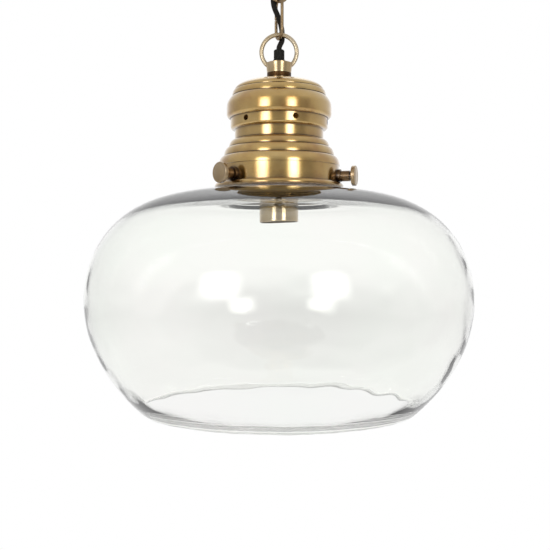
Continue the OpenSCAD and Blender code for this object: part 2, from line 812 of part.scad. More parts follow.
module lampholder_shell() {
  dome_h = 12;
  flat_r = 13;
  outline = concat(
    [[stem_d / 2 + fit, holder_top_z]],
    bow(flat_r, holder_top_z - dome_h, holder_d / 2 - flat_r, dome_h, 90, 0, 8),
    [[holder_d / 2, holder_z]]);
  color(brass) spun(outline, holder_wall);
}

module lampholder_locknut() {
  color(brass_dark)
  translate([0, 0, holder_top_z]) hex_nut(holder_nut_across, locknut_h, stem_d + fit);
}

// U-shaped strap, drawn in three flats for each leg
module lampholder_bridge() {
  foot_t = 1;
  foot_l = 6;
  leg_h = bridge_z - insert_top_z;
  color(steel)
  difference() {
    union() {
      translate([0, 0, bridge_z]) cylinder(d = bridge_w + bridge_eye, h = bridge_t);
      for (s = [0, 1]) mirror([0, s, 0]) {
        translate([-bridge_w / 2, bridge_reach - bridge_arm, bridge_z])
          cube([bridge_w, bridge_arm, bridge_t]);
        translate([-bridge_w / 2, bridge_reach - foot_t, insert_top_z])
          cube([bridge_w, foot_t, leg_h + bridge_t]);
        translate([-bridge_w / 2, bridge_reach - foot_l, insert_top_z])
          cube([bridge_w, foot_l, foot_t]);
      }
    }
    translate([0, 0, bridge_z - 1]) cylinder(d = stem_d + 2 * fit, h = bridge_t + 2);
    for (s = [-1, 1]) translate([0, s * bridge_screw_y, insert_top_z - 1])
      cylinder(d = bridge_screw_d + slack, h = foot_t + 2);
  }
}

module lampholder_nut() {
  color(brass_dark)
  translate([0, 0, bridge_z - inner_nut_h]) hex_nut(holder_nut_across, inner_nut_h, stem_d + fit);
}

module bridge_screws() {
  color(steel)
  for (s = [-1, 1]) translate([0, s * bridge_screw_y, insert_top_z + 1 - bridge_screw_l]) {
    cylinder(d = bridge_screw_d, h = bridge_screw_l);
    translate([0, 0, bridge_screw_l]) cylinder(d = bridge_screw_d + 2, h = 1.8);
  }
}

module porcelain_insert() {
  pocket = [terminal_w + 2 * slack, terminal_l + 2 * slack, terminal_sink + 2];
  color([0.94, 0.93, 0.9])
  difference() {
    translate([0, 0, socket_foot_z]) cylinder(r = insert_r, h = insert_top_z - socket_foot_z);
    translate([0, 0, socket_foot_z - 1])
      cylinder(r = socket_r + socket_wall + fit, h = socket_l + 1);
    translate([0, 0, socket_top_z - 1]) cylinder(r = contact_hole_r, h = contact_room + 1);
    for (s = [-1, 1]) {
      translate([0, s * bridge_screw_y, insert_top_z + 0.8 - bridge_screw_l])
        cylinder(d = bridge_screw_d + slack, h = bridge_screw_l + 1);
      translate([s * terminal_x - pocket[0] / 2, -pocket[1] / 2,
                 insert_top_z - terminal_sink - slack])
        cube(pocket);
    }
  }
}

module screw_shell() {
  color(brass_bright)
  translate([0, 0, socket_foot_z]) difference() {
    cylinder(r = socket_r + socket_wall, h = socket_l);
    translate([0, 0, -1]) cylinder(r = socket_r, h = socket_l + 2);
  }
}

module centre_contact() {
  strip_l = 2 * contact_hole_r - 3;
  color(brass_bright)
  translate([0, 0, socket_top_z + contact_room - contact_t]) {
    translate([-strip_l / 2, -3, 0]) cube([strip_l, 6, contact_t]);
    translate([0, 0, -2.6]) cylinder(d = 6, h = 3);
  }
}

wire_z = insert_top_z + 1.5;

// Brass terminal let into the porcelain, with a side hole for its core and a clamping screw
module terminal(s) {
  block = [terminal_w, terminal_l, terminal_sink + terminal_rise];
  color(brass_bright)
  difference() {
    union() {
      translate([s * terminal_x - block[0] / 2, -block[1] / 2, insert_top_z - terminal_sink])
        cube(block);
      translate([s * (terminal_x + 1), 0, insert_top_z + terminal_rise]) cylinder(d = 4, h = 1.2);
    }
    translate([s * (terminal_x - 4), 0, wire_z]) rotate([0, 90 * s, 0])
      cylinder(d = core_d + 0.4, h = 5);
  }
}

module live_terminal() { terminal(-1); }

module neutral_terminal() { terminal(1); }

stem_flex_foot_z = stem_foot_z + 3;

// A core from the foot of the stem flex into the side hole of a terminal
module holder_core(s) {
  start = [0, 0, stem_flex_foot_z] + core_place(s);
  swept_tube([start, start + [0, 0, -3.4], [2.7 * s, -0.5, wire_z + 1.9],
              [5.2 * s, -0.1, wire_z + 0.2], [s * (terminal_x - 3.8), 0, wire_z],
              [s * (terminal_x - 0.6), 0, wire_z]],
             core_d, 8, [0, 1, 0]);
}

module holder_live_core() { color([0.45, 0.27, 0.14]) holder_core(-1); }

module holder_neutral_core() { color([0.16, 0.35, 0.7]) holder_core(1); }

// The earth core ends beside a bridge screw, on the foot of the bridge
module holder_earth_core() {
  start = [0, 0, stem_flex_foot_z] + core_place(0);
  foot_z = insert_top_z + 1 + core_d / 2;
  color([0.35, 0.6, 0.2])
  swept_tube([start, start + [0, 0, -3.4], [0, 2.2, foot_z + 1.2], [0, 4, foot_z + 0.1],
              [0, bridge_screw_y - 2.6, foot_z + 0.05]], core_d, 8);
}

ceiling_plate();
plate_nut();
ceiling_hook();
canopy();
canopy_nut();
canopy_cord_grip();
canopy_grip_nut();
terminal_block();
terminal_screws();
canopy_live_core();
canopy_neutral_core();
canopy_earth_core();
hanging_flex();
chain_link_3();
chain_link_2();
chain_link_1();
suspension_ring();
loop_collar();
cord_grip();
seat_washer();
domed_cap();
spacer_tube();
hollow_stem();
stem_flex();
gallery_body();
gallery_washer();
gallery_nut();
screw_bushes();
thumbscrew_1();
thumbscrew_2();
thumbscrew_3();
screw_pad_1();
screw_pad_2();
screw_pad_3();
glass_shade();
lampholder_locknut();
lampholder_shell();
lampholder_bridge();
lampholder_nut();
bridge_screws();
porcelain_insert();
screw_shell();
centre_contact();
live_terminal();
neutral_terminal();
holder_live_core();
holder_neutral_core();
holder_earth_core();
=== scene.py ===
# Pendant light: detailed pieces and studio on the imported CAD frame
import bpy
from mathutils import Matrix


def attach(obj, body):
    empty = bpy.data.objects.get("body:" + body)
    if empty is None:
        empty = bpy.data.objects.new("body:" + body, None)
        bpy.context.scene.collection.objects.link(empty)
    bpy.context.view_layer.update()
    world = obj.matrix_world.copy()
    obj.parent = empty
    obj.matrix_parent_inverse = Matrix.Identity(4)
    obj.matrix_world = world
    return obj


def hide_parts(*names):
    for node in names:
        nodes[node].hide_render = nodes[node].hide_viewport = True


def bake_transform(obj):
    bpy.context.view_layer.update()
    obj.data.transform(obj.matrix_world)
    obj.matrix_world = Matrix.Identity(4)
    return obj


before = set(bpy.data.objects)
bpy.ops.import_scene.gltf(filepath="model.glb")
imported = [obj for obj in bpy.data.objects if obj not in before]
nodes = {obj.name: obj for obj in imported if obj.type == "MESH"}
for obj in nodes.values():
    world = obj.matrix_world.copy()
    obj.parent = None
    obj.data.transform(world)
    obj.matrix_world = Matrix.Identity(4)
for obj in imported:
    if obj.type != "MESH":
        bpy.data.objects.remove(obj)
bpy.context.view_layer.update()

import math

import bmesh
import bpy
from mathutils import Matrix, Vector
from mathutils.noise import noise as perlin

scene = bpy.context.scene
mm = 0.001


# Camera: level with the shade, one pixel of the photograph to a millimetre at the axis
camera = {"place": (0, -0.85, -0.399), "lens": 55.64, "shift": (-4.1 / 550, -13 / 550)}

cameraData = bpy.data.cameras.new("camera")
cameraData.lens = camera["lens"]
cameraData.sensor_width = 36
cameraData.shift_x, cameraData.shift_y = camera["shift"]
cameraData.clip_start, cameraData.clip_end = 0.02, 50
cameraObject = bpy.data.objects.new("camera", cameraData)
cameraObject.location = camera["place"]
cameraObject.rotation_euler = (math.radians(90), 0, 0)
scene.collection.objects.link(cameraObject)
scene.camera = cameraObject
scene.view_settings.view_transform = "Standard"


# Points along an upright ellipse, from angle a to angle b in degrees
def bow(r, z, rr, rz, a, b, n):
    turns = [math.radians(a + (b - a) * i / n) for i in range(n + 1)]
    return [(r + rr * math.cos(t), z + rz * math.sin(t)) for t in turns]


# The outline moved inward by a wall thickness, or by a list of them
def inset(points, wall):
    last = len(points) - 1

    def side(p, q):
        d = Vector(q) - Vector(p)
        return Vector((d[1], -d[0])).normalized()

    moved = []
    for i, p in enumerate(points):
        u = side(points[max(i - 1, 0)], points[max(i, 1)])
        v = side(points[min(i, last - 1)], points[min(i + 1, last)])
        w = wall[i] if isinstance(wall, list) else wall
        moved.append(tuple(Vector(p) + (u + v) * w / (1 + u.dot(v))))
    return moved


# A turned outline with a fine scored line just above each step
def scored(outline, corners, depth=0.55, height=0.6):
    line = []
    for r, z in outline:
        if any(abs(r - a) < 1e-6 and abs(z - b) < 1e-6 for a, b in corners):
            line += [(r, z + height), (r - depth, z + height * 0.75), (r - depth, z + height * 0.1)]
        line.append((r, z))
    return line


def meshPiece(name, mesh, material, body):
    piece = bpy.data.objects.new(name, mesh)
    scene.collection.objects.link(piece)
    mesh.materials.append(material)
    for polygon in mesh.polygons:
        polygon.use_smooth = True
    mesh.set_sharp_from_angle(angle=math.radians(32))
    if body:
        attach(piece, body)
    return piece


# A ring of points turned round Z, or round another line by a matrix, in millimetres
def lathe(loop, segments=192, stand=None, closed=True):
    build = bmesh.new()
    rings = []
    for r, z in loop:
        if r < 1e-6:
            rings.append([build.verts.new((0, 0, z * mm))] * segments)
            continue
        ring = []
        for k in range(segments):
            a = 2 * math.pi * k / segments
            ring.append(build.verts.new((r * math.cos(a) * mm, r * math.sin(a) * mm, z * mm)))
        rings.append(ring)
    pairs = list(zip(rings, rings[1:]))
    if closed:
        pairs.append((rings[-1], rings[0]))
    for upper, lower in pairs:
        for k in range(segments):
            n = (k + 1) % segments
            corners = []
            for vert in (upper[k], lower[k], lower[n], upper[n]):
                if vert not in corners:
                    corners.append(vert)
            if len(corners) > 2:
                build.faces.new(corners)
    bmesh.ops.recalc_face_normals(build, faces=build.faces)
    mesh = bpy.data.meshes.new("turned")
    build.to_mesh(mesh)
    build.free()
    if stand:
        mesh.transform(stand)
    return mesh


# Holes drilled through a mesh: each is its middle, direction, diameter and length in millimetres
def drilled(mesh, holes):
    solid = bpy.data.objects.new("solid", mesh)
    scene.collection.objects.link(solid)
    cutters = bmesh.new()
    for middle, direction, diameter, length in holes:
        turn = Vector(direction).to_track_quat("Z", "Y").to_matrix().to_4x4()
        made = bmesh.ops.create_cone(
            cutters, cap_ends=True, segments=48, radius1=diameter * mm / 2,
            radius2=diameter * mm / 2, depth=length * mm)
        bmesh.ops.transform(
            cutters, matrix=Matrix.Translation(Vector(middle) * mm) @ turn, verts=made["verts"])
    cutterMesh = bpy.data.meshes.new("drills")
    cutters.to_mesh(cutterMesh)
    cutters.free()
    cutter = bpy.data.objects.new("drills", cutterMesh)
    scene.collection.objects.link(cutter)
    cut = solid.modifiers.new("drill", "BOOLEAN")
    cut.object, cut.operation, cut.solver = cutter, "DIFFERENCE", "EXACT"
    bpy.context.view_layer.update()
    done = bpy.data.meshes.new_from_object(
        solid.evaluated_get(bpy.context.evaluated_depsgraph_get()))
    bpy.data.objects.remove(solid)
    bpy.data.objects.remove(cutter)
    return done


# A smooth curve through the points, in a few short steps between each pair
def smoothLine(points, steps):
    points = [Vector(p) for p in points]
    line = []
    for i in range(len(points) - 1):
        a = points[max(i - 1, 0)]
        b, c = points[i], points[i + 1]
        d = points[min(i + 2, len(points) - 1)]
        for k in range(steps):
            t = k / steps
            line.append(0.5 * (2 * b + (c - a) * t + (2 * a - 5 * b + 4 * c - d) * t * t
                               + (3 * b - a - 3 * c + d) * t ** 3))
    line.append(points[-1])
    return line


# A wire swept along a line in millimetres, with flat ends
def sweep(line, radius, sides, start=(1, 0, 0)):
    line = [Vector(p) for p in line]
    last = len(line) - 1
    build = bmesh.new()
    uvs = build.loops.layers.uv.new("along")
    rings, lengths = [], [0]
    normal = Vector(start)
    radii = radius if isinstance(radius, list) else [radius] * len(line)
    turns = [2 * math.pi * k / sides for k in range(sides)]
    for i, p in enumerate(line):
        ahead = (line[min(i + 1, last)] - line[max(i - 1, 0)]).normalized()
        normal = (normal - ahead * ahead.dot(normal)).normalized()
        other = ahead.cross(normal)
        rings.append([
            build.verts.new((p + (normal * math.cos(a) + other * math.sin(a)) * radii[i]) * mm)
            for a in turns])
        if i:
            lengths.append(lengths[-1] + (p - line[i - 1]).length)
    for i in range(last):
        for k in range(sides):
            n = (k + 1) % sides
            face = build.faces.new((rings[i][k], rings[i][n], rings[i + 1][n], rings[i + 1][k]))
            corners = [(k, i), (k + 1, i), (k + 1, i + 1), (k, i + 1)]
            for loop, (u, v) in zip(face.loops, corners):
                loop[uvs].uv = (u / sides, lengths[v])
    build.faces.new(rings[0])
    build.faces.new(rings[-1])
    bmesh.ops.recalc_face_normals(build, faces=build.faces)
    mesh = bpy.data.meshes.new("swept")
    build.to_mesh(mesh)
    build.free()
    return mesh


# A node's socket takes another socket's output, or a plain value
def feed(tree, socket, value):
    if isinstance(value, bpy.types.NodeSocket):
        tree.links.new(value, socket)
    else:
        socket.default_value = value


def newMaterial(name, color, roughness, metallic=0.0, ior=1.5):
    material = bpy.data.materials.new(name)
    material.use_nodes = True
    tree = material.node_tree
    shader = tree.nodes["Principled BSDF"]
    shader.inputs["Base Color"].default_value = (*color, 1)
    shader.inputs["Roughness"].default_value = roughness
    shader.inputs["Metallic"].default_value = metallic
    shader.inputs["IOR"].default_value = ior
    material.diffuse_color = (*color, 1)
    return material, tree, shader


# A node with values for its settings or its sockets, by their own names
def addNode(tree, kind, **values):
    node = tree.nodes.new(kind)
    for key, value in values.items():
        if hasattr(node, key):
            setattr(node, key, value)
        else:
            node.inputs[key].default_value = value
    return node


# A cloudy value round 0.5, finer with a larger scale
def noise(tree, vector, scale, detail=3.0, roughness=0.5):
    node = addNode(tree, "ShaderNodeTexNoise", Scale=scale, Detail=detail, Roughness=roughness)
    tree.links.new(vector, node.inputs["Vector"])
    return node.outputs["Fac"]


def ramp(tree, value, stops):
    node = tree.nodes.new("ShaderNodeValToRGB")
    node.color_ramp.elements[0].position, node.color_ramp.elements[0].color = stops[0]
    node.color_ramp.elements[1].position, node.color_ramp.elements[1].color = stops[-1]
    for position, color in stops[1:-1]:
        node.color_ramp.elements.new(position).color = color
    tree.links.new(value, node.inputs["Fac"])
    return node.outputs["Color"]


# A value that runs from low to high while another runs from start to end
def ranged(tree, value, low, high, start=0.3, end=0.7):
    node = tree.nodes.new("ShaderNodeMapRange")
    node.inputs["From Min"].default_value = start
    node.inputs["From Max"].default_value = end
    node.inputs["To Min"].default_value = low
    node.inputs["To Max"].default_value = high
    tree.links.new(value, node.inputs["Value"])
    return node.outputs["Result"]


# A colour that a socket gives, mixed with a plain one
def mixed(tree, factor, a, color):
    node = tree.nodes.new("ShaderNodeMix")
    node.data_type = "RGBA"
    feed(tree, node.inputs[0], factor)
    feed(tree, node.inputs[6], a)
    feed(tree, node.inputs[7], (*color, 1))
    return node.outputs[2]


def between(tree, factor, a, b):
    node = tree.nodes.new("ShaderNodeMix")
    feed(tree, node.inputs[0], factor)
    feed(tree, node.inputs[2], a)
    feed(tree, node.inputs[3], b)
    return node.outputs[0]


def maths(tree, kind, a, b):
    node = tree.nodes.new("ShaderNodeMath")
    node.operation = kind
    feed(tree, node.inputs[0], a)
    feed(tree, node.inputs[1], b)
    return node.outputs[0]


# A bump, over any bump that the shader has
def bumped(tree, shader, height, strength, distance):
    node = tree.nodes.new("ShaderNodeBump")
    node.inputs["Strength"].default_value = strength
    node.inputs["Distance"].default_value = distance
    tree.links.new(height, node.inputs["Height"])
    previous = shader.inputs["Normal"]
    if previous.is_linked:
        tree.links.new(previous.links[0].from_socket, node.inputs["Normal"])
    tree.links.new(node.outputs["Normal"], shader.inputs["Normal"])


def place(tree):
    return tree.nodes.new("ShaderNodeTexCoord").outputs["Object"]


def stretched(tree, vector, scale):
    node = tree.nodes.new("ShaderNodeMapping")
    node.inputs["Scale"].default_value = scale
    tree.links.new(vector, node.inputs["Vector"])
    return node.outputs["Vector"]


# Distance from the Z axis and height, so that a noise on it runs in turned rings
def turnedPlace(tree, vector):
    split = tree.nodes.new("ShaderNodeSeparateXYZ")
    tree.links.new(vector, split.inputs[0])
    flat = tree.nodes.new("ShaderNodeCombineXYZ")
    tree.links.new(split.outputs[0], flat.inputs[0])
    tree.links.new(split.outputs[1], flat.inputs[1])
    radius = tree.nodes.new("ShaderNodeVectorMath")
    radius.operation = "LENGTH"
    tree.links.new(flat.outputs[0], radius.inputs[0])
    joined = tree.nodes.new("ShaderNodeCombineXYZ")
    tree.links.new(radius.outputs["Value"], joined.inputs[0])
    tree.links.new(split.outputs[2], joined.inputs[2])
    return joined.outputs[0]


# Aged brass: mottled, under a lacquer, with painted shade that darkens its colour in creases and
# under parts, where ambient occlusion finds them.
# A hollow shade is its colour, the reach in metres, the depth of the dark, and the two open shares
# between which it fades
brass = {
    "color": (0.53, 0.332, 0.088), "pale": (0.59, 0.40, 0.135), "brown": (0.41, 0.215, 0.045),
    "cloud": 38, "roughness": (0.21, 0.26), "wear": 90,
    "hollowShade": [((0.32, 0.175, 0.04), 0.03, 0.6, 0.35, 0.85),
                ((0.07, 0.033, 0.008), 0.007, 0.97, 0.42, 0.96)],
    "turning": 0.14, "turningScale": 1300, "turningDepth": 0.00004, "stretch": 0.6,
    "stretchTurn": 0.25, "lacquer": 1.0, "lacquerIor": 1.72, "lacquerRoughness": 0.1,
}


def brassMaterial(name, turned=False, color=None, rough=0.0, mottle=1.0, lacquer=None,
                  shadedCreases=True):
    color = color or brass["color"]
    low, high = [value + rough for value in brass["roughness"]]
    material, tree, shader = newMaterial(name, color, (low + high) / 2, 1.0)
    spot = place(tree)

    def toned(tone, share=mottle):
        return [c * (1 + share * (t / b - 1)) for c, t, b in zip(color, tone, brass["color"])]

    shade = ramp(tree, noise(tree, spot, brass["cloud"], 4, 0.55), [
        (0.3, (*toned(brass["brown"]), 1)), (0.5, (*color, 1)),
        (0.72, (*toned(brass["pale"]), 1))])
    # Painted shade: each hollow shade darkens the colour where ambient occlusion finds creases and
    # parts close above
    for tone, reach, depth, start, end in brass["hollowShade"] if shadedCreases else []:
        hollow = addNode(tree, "ShaderNodeAmbientOcclusion", samples=8, Distance=reach)
        dark = ranged(tree, hollow.outputs["AO"], depth, 0.0, start, end)
        shade = mixed(tree, dark, shade, toned(tone, 1))
    tree.links.new(shade, shader.inputs["Base Color"])
    tree.links.new(ranged(tree, noise(tree, spot, brass["wear"], 4), low, high),
                   shader.inputs["Roughness"])
    shader.inputs["Coat Weight"].default_value = brass["lacquer"] if lacquer is None else lacquer
    shader.inputs["Coat Roughness"].default_value = brass["lacquerRoughness"]
    shader.inputs["Coat IOR"].default_value = brass["lacquerIor"]
    if turned:
        rings = turnedPlace(tree, spot)
        bumped(tree, shader, noise(tree, rings, brass["turningScale"], 3, 0.65),
               brass["turning"], brass["turningDepth"])
        shader.inputs["Anisotropic"].default_value = brass["stretch"]
        shader.inputs["Anisotropic Rotation"].default_value = brass["stretchTurn"]
        tangent = tree.nodes.new("ShaderNodeTangent")
        tangent.direction_type, tangent.axis = "RADIAL", "Z"
        tree.links.new(tangent.outputs[0], shader.inputs["Tangent"])
    return material


spunBrass = brassMaterial("spun_brass", turned=True)
collarBrass = brassMaterial("collar_brass", turned=True, color=(0.54, 0.40, 0.21), rough=0.08,
                            lacquer=0.4)
wireBrass = brassMaterial("wire_brass", color=(0.56, 0.46, 0.31), rough=0.08, mottle=0.4,
                          lacquer=0, shadedCreases=False)
linkBrass = brassMaterial("link_brass", color=(0.27, 0.19, 0.105), rough=0.1, mottle=0.5,
                          lacquer=0, shadedCreases=False)
screwBrass = brassMaterial("screw_brass", color=(0.41, 0.295, 0.16), rough=0.1, mottle=0.7,
                           lacquer=0.5)
darkBrass = brassMaterial("dark_brass", color=(0.20, 0.12, 0.05), rough=0.14, lacquer=0.3)
# Near-black washer brass: painted shade standing in for the shadowed groove under the collar
washerShadeBrass = brassMaterial("washer_shade_brass", color=(0.10, 0.05, 0.018), rough=0.2, lacquer=0)
holderBrass = brassMaterial("holder_brass", turned=True, color=(0.47, 0.35, 0.18))
contactBrass = brassMaterial("contact_brass", color=(0.58, 0.4, 0.16), rough=-0.05)

# Blown glass: a faint green tint, soft ripples, and a ground finish at the rim
glassLook = {
    "tint": (0.986, 1.0, 0.974), "blush": (0.998, 0.995, 0.98), "tintScale": 9, "ior": 1.47,
    "ripple": 0.08, "rippleDepth": 0.0012, "rippleScale": 13, "rippleFlatten": 2.2,
    "ground": (0.35, 0.45),
}


def glassMaterial(name, roughness=0.0, clear=1.0):
    material, tree, shader = newMaterial(name, glassLook["tint"], roughness, 0.0,
                                         glassLook["ior"])
    shader.inputs["Transmission Weight"].default_value = clear
    spot = place(tree)
    tint = ramp(tree, noise(tree, spot, glassLook["tintScale"], 2), [
        (0.35, (*glassLook["blush"], 1)), (0.65, (*glassLook["tint"], 1))])
    tree.links.new(tint, shader.inputs["Base Color"])
    flattened = stretched(tree, spot, (1, 1, glassLook["rippleFlatten"]))
    wave = noise(tree, flattened, glassLook["rippleScale"], 1.5, 0.4)
    bumped(tree, shader, wave, glassLook["ripple"], glassLook["rippleDepth"])
    return material


# Braid: two leaning sets of threads round the flex
braidLook = {
    "color": (0.02, 0.017, 0.015), "dark": (0.008, 0.007, 0.006), "pale": (0.035, 0.028, 0.022),
    "roughness": 0.75, "gloss": 0.15, "lean": 52, "round": 16.6, "scale": 0.45,
    "distortion": 0.6, "bump": 0.6, "depth": 0.0003,
}


def braidMaterial():
    material, tree, shader = newMaterial("braided_flex", braidLook["color"],
                                         braidLook["roughness"])
    uv = tree.nodes.new("ShaderNodeTexCoord").outputs["UV"]
    waves = []
    for lean in (1, -1):
        turned = tree.nodes.new("ShaderNodeMapping")
        turned.inputs["Rotation"].default_value = (0, 0, lean * math.radians(braidLook["lean"]))
        turned.inputs["Scale"].default_value = (braidLook["round"], 1, 1)
        tree.links.new(uv, turned.inputs["Vector"])
        wave = addNode(tree, "ShaderNodeTexWave", Scale=braidLook["scale"],
                       Distortion=braidLook["distortion"])
        tree.links.new(turned.outputs[0], wave.inputs["Vector"])
        waves.append(wave.outputs["Fac"])
    threads = maths(tree, "MULTIPLY", *waves)
    shade = ramp(tree, threads, [(0.1, (*braidLook["dark"], 1)), (0.6, (*braidLook["pale"], 1))])
    tree.links.new(shade, shader.inputs["Base Color"])
    bumped(tree, shader, threads, braidLook["bump"], braidLook["depth"])
    shader.inputs["Specular IOR Level"].default_value = braidLook["gloss"]
    return material


# A plain finish, clouded between two colours and two roughnesses
def plainMaterial(name, color, second, roughness, scale, bump, metallic=0.0, gloss=0.5,
                  depth=0.0003):
    material, tree, shader = newMaterial(name, color, sum(roughness) / 2, metallic)
    shader.inputs["Specular IOR Level"].default_value = gloss
    spot = place(tree)
    cloud = noise(tree, spot, scale, 4)
    tree.links.new(ramp(tree, cloud, [(0.3, (*color, 1)), (0.7, (*second, 1))]),
                   shader.inputs["Base Color"])
    tree.links.new(ranged(tree, cloud, *roughness), shader.inputs["Roughness"])
    bumped(tree, shader, noise(tree, spot, scale * 4, 3), bump, depth)
    return material


clearGlass = glassMaterial("clear_glass")
groundGlass = glassMaterial("ground_glass", *glassLook["ground"])
braid = braidMaterial()
blackNylon = plainMaterial("black_nylon", (0.006, 0.006, 0.005), (0.018, 0.017, 0.014),
                           (0.35, 0.5), 420, 0.5, gloss=0.1)
zincSteel = plainMaterial("zinc_steel", (0.52, 0.53, 0.54), (0.66, 0.67, 0.68),
                          (0.28, 0.42), 260, 0.08, 1.0)
softPad = plainMaterial("soft_pad", (0.03, 0.028, 0.026), (0.05, 0.048, 0.045),
                        (0.7, 0.85), 500, 0.2)
porcelain = plainMaterial("porcelain", (0.84, 0.82, 0.77), (0.88, 0.86, 0.82),
                          (0.12, 0.22), 90, 0.05)
brownCore = plainMaterial("brown_core", (0.15, 0.06, 0.02), (0.19, 0.08, 0.03),
                          (0.35, 0.5), 300, 0.05)
blueCore = plainMaterial("blue_core", (0.03, 0.1, 0.42), (0.04, 0.13, 0.5),
                         (0.35, 0.5), 300, 0.05)
greenCore = plainMaterial("green_core", (0.08, 0.26, 0.03), (0.5, 0.5, 0.03),
                          (0.35, 0.5), 120, 0.05)
print("materials made")


# Hanging flex: the route of part.scad, in one piece for each junction that it bends across.
# A bend is the body above it, the body below it, and the heights between which it happens
flex = {
    "diameter": 5.3, "sides": 24, "steps": 8, "least": 0.05,
    "route": [
        (0, 0, -187), (0, 0, -185), (0.5, 0.7, -183), (1.7, 2.6, -180), (2.8, 4.4, -177),
        (3.1, 5.2, -173), (3, 5.2, -169), (2.6, 4.6, -165), (1.2, 3, -159), (-0.8, 2.2, -153.5),
        (-3.2, 2.1, -148), (-5, 2.4, -143), (-5.8, 2.8, -138), (-5.7, 2.4, -133),
        (-4.8, 1, -127), (-3.7, -1, -120), (-3, -3, -113), (-2.8, -5, -106),
        (-2.8, -5.8, -100), (-2.4, -5.6, -95), (-0.6, -4.8, -88), (1.6, -4, -81),
        (3.8, -3.4, -74), (5.6, -3.2, -67), (6.2, -3.6, -62), (5.8, -6.2, -56.5),
        (3.6, -10.6, -51), (1.2, -14.8, -46.5), (0, -16.8, -42.5), (0, -17, -38),
        (0, -17, -23.5)],
    "joins": [-177, -144, -112, -78, -41.7],
    "bends": [("ring", "fitting", -177, -187), ("link_1", "ring", -163, -176.8),
              ("link_2", "link_1", -131, -144), ("link_3", "link_2", -92, -110),
              ("ceiling", "link_3", -50, -76)],
}

flexLine = smoothLine(flex["route"], flex["steps"])[::-1]
flexNames = ["flex_in_canopy", "flex_upper", "flex_middle", "flex_lower", "flex_in_ring",
             "flex_tail"]
flexCuts = [0, *flex["joins"][::-1], flex["route"][0][2]]
flexParts = []  # from the canopy down, each starting where the one above it ends
for i, name in enumerate(flexNames):
    high, low = flexCuts[i], flexCuts[i + 1]
    part = [p for p in flexLine if low <= p.z <= high]
    if i:
        part.insert(0, flexEnd)
    if i < len(flexNames) - 1:
        after = next(p for p in flexLine if p.z < low)
        t = (part[-1].z - low) / (part[-1].z - after.z)
        flexEnd = part[-1].lerp(after, t)
        if (flexEnd - part[-1]).length > flex["least"]:
            part.append(flexEnd)
        else:
            part[-1] = flexEnd
    flexParts.append(part)

for i, (name, part) in enumerate(zip(flexNames, flexParts)):
    mesh = sweep(part, flex["diameter"] / 2, flex["sides"])
    if i == 0:
        piece = meshPiece(name, mesh, braid, "ceiling")
    else:
        upper, lower, top, foot = flex["bends"][-i]
        piece = meshPiece(name, mesh, braid, None)
        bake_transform(piece)
    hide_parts("hanging_flex")

# The points of the four parts in the open, in metres
for i in (1, 2, 3, 4):
    part = [p * mm for p in flexParts[i]]
print("flex made")


# Chain links of round wire with a butt joint in one leg: each is (node, body, top, turn)
chain = {
    "wire": 3.1, "width": 20.5, "run": 40.55, "split": 0.7, "sides": 28, "roundEnd": 0.25,
    "roundShare": 0.12,
    "links": [("chain_link_3", "link_3", -60.95, 110), ("chain_link_2", "link_2", -98.1, 20),
              ("chain_link_1", "link_1", -135.25, 110)],
}

for name, body, top, turn in chain["links"]:
    r = (chain["width"] - chain["wire"]) / 2
    leg = chain["run"] - 2 * r
    half = chain["split"] / 2
    line = [(r, -r - leg / 2 + half + k * (leg / 2 - half) / 6) for k in range(6)]
    line += [(r * math.cos(math.radians(a)), -r + r * math.sin(math.radians(a)))
             for a in range(0, 181, 6)]
    line += [(-r, -r - k * leg / 8) for k in range(1, 8)]
    line += [(-r * math.cos(math.radians(a)), -r - leg - r * math.sin(math.radians(a)))
             for a in range(0, 181, 6)]
    line += [(r, -r - leg + k * (leg / 2 - half) / 6) for k in range(1, 7)]
    around = Matrix.Rotation(math.radians(turn), 3, "Z")
    path = [around @ Vector((x, 0, z + top)) for x, z in line]
    path.insert(1, path[0].lerp(path[1], chain["roundShare"]))
    path.insert(-1, path[-1].lerp(path[-2], chain["roundShare"]))
    radii = [chain["wire"] / 2] * len(path)
    radii[0] = radii[-1] = chain["wire"] / 2 - chain["roundEnd"]
    mesh = sweep(path, radii, chain["sides"], start=around @ Vector((0, 1, 0)))
    piece = meshPiece(name.replace("chain_link", "wire_link"), mesh, linkBrass, body)
    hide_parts(name)
print("chain made")


# Split suspension ring, its ends turned in to the collar: the bend is measured from the foot of
# the arc, and the arc leaves out a few of its steps for it
ring = {
    "radius": 17.6, "wire": 4.3, "centre": -189.4, "drop": 14.4, "end": 5.8, "straight": 1.5,
    "bend": [(-1.6, 0), (-0.6, 0.08), (0.35, 0.5)], "steps": 96, "leftOut": 4, "sides": 32,
}

reach = math.acos(-ring["drop"] / ring["radius"])
arc = [math.pi / 2 - reach + (2 * reach) * i / ring["steps"]
       for i in range(ring["leftOut"], ring["steps"] - ring["leftOut"] + 1)]
line = [(ring["radius"] * math.cos(a), ring["radius"] * math.sin(a)) for a in arc]
foot = math.sqrt(ring["radius"] ** 2 - ring["drop"] ** 2)
right = [(ring["end"], -ring["drop"]), (ring["end"] + ring["straight"], -ring["drop"])]
right += [(foot + x, z - ring["drop"]) for x, z in ring["bend"]]
left = [(-x, z) for x, z in right[::-1]]
line = right + line + left
ringMesh = sweep([(x, 0, z + ring["centre"]) for x, z in line], ring["wire"] / 2, ring["sides"],
                 start=(0, 1, 0))
ringPiece = meshPiece("wire_ring", ringMesh, wireBrass, "ring")
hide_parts("suspension_ring")
print("ring made")


# Domed cap, spun in steps
cap = {
    "sheet": 1, "hole": 5.2, "boss": 13.4, "top": -215.2, "edge": (0.4, 0.3), "crown": 44.4,
    "crownTop": -216.2, "crownFoot": -228, "step": 46.9, "stepFoot": -234.2, "rim": 52.4,
    "shoulder": [(46.9, -234.2), (48.7, -236), (50.7, -239), (52, -242.2), (52.4, -246)],
    "rimFoot": -251.5, "rollInner": 48.9, "rollHeight": 4.7,
}

